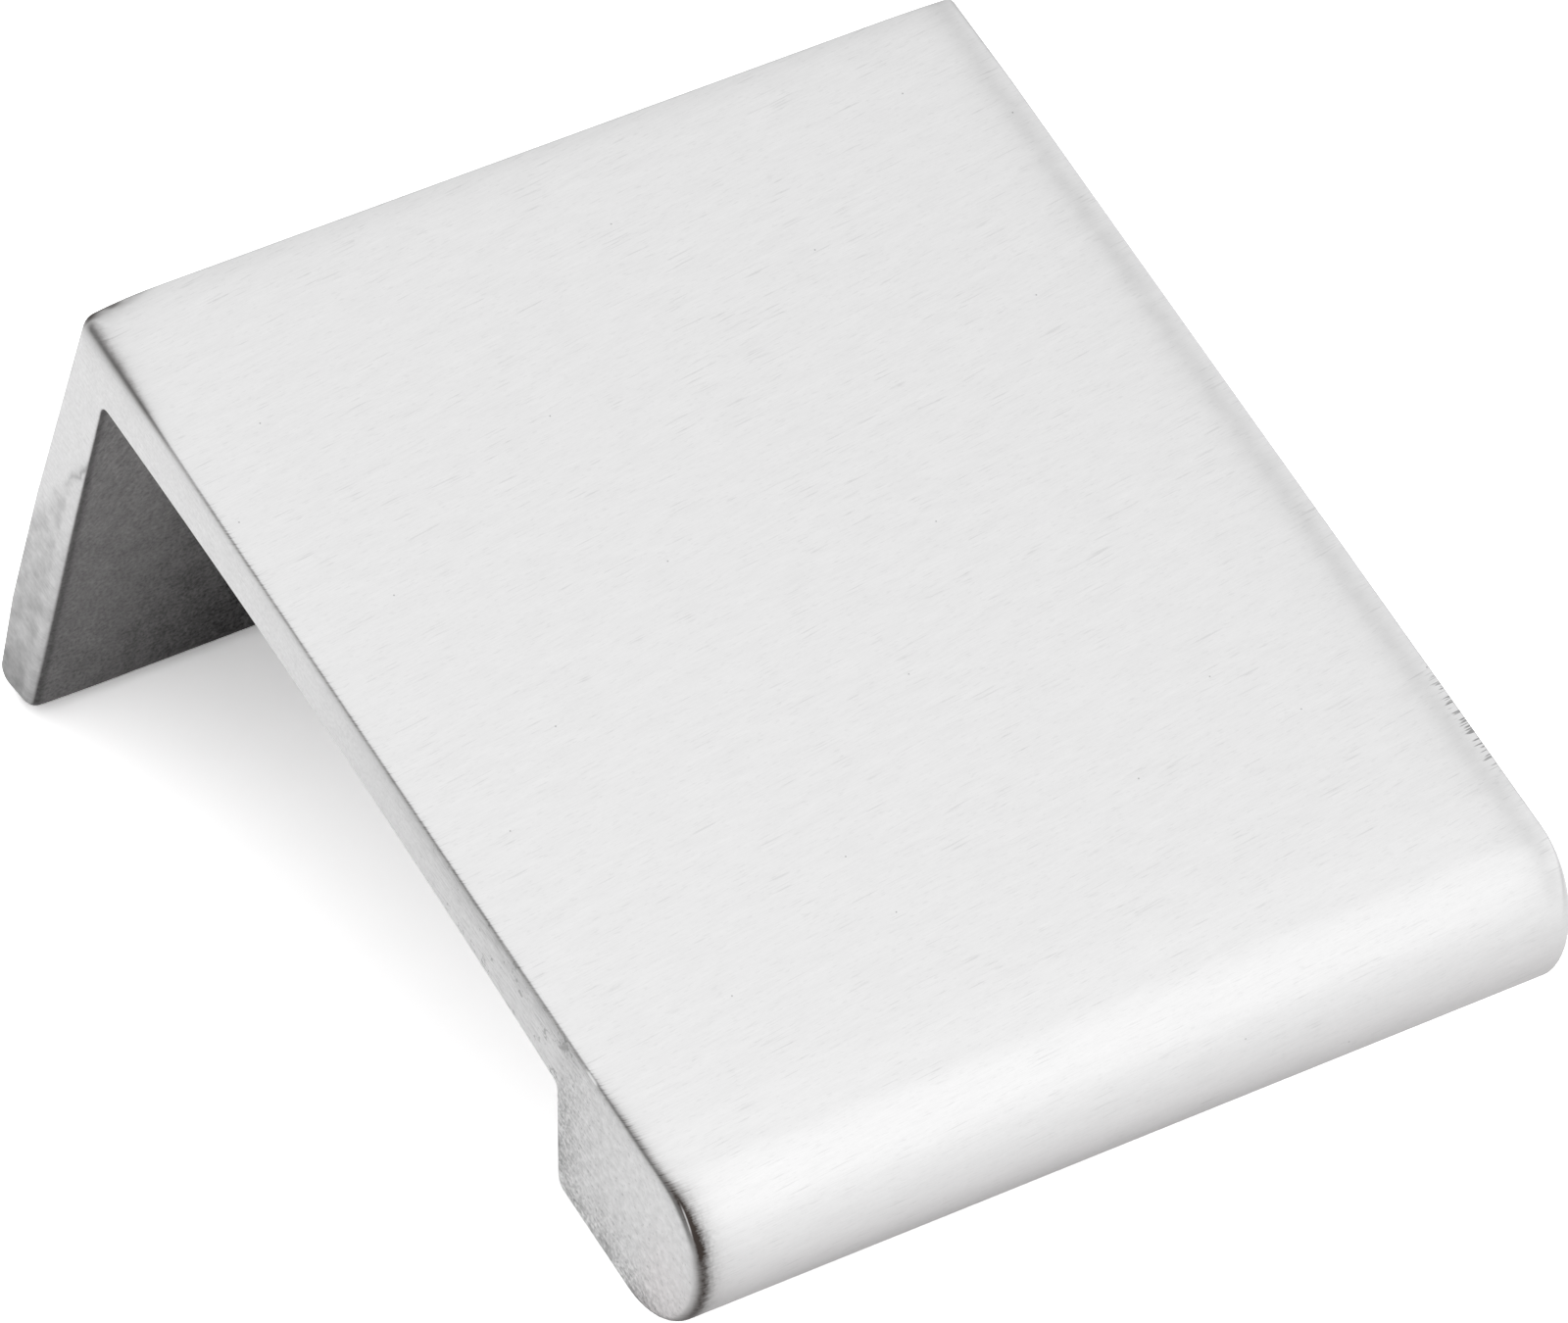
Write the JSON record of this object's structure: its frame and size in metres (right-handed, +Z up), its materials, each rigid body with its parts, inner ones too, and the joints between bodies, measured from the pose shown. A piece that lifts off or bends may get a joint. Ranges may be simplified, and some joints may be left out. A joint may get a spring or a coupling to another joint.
{
  "type": "tab pull",
  "caption": "Brushed metal tab pull: a flange screwed behind a drawer front, a flat plate over its edge and a round-nosed lip for the fingertips.",
  "frame": {"origin": "on the flange's seating face, midway between the two screw holes", "axes": "+Z up as fitted, the plate level on top; -Y out of the seating face, towards the nose; X along the width"},
  "size_m": [0.038, 0.0454, 0.0224],
  "materials": {
    "brushed_metal": "satin, brushed along the width"
  },
  "bodies": {
    "root": {"tab_pull": "brushed_metal"}
  },
  "joints": []
}
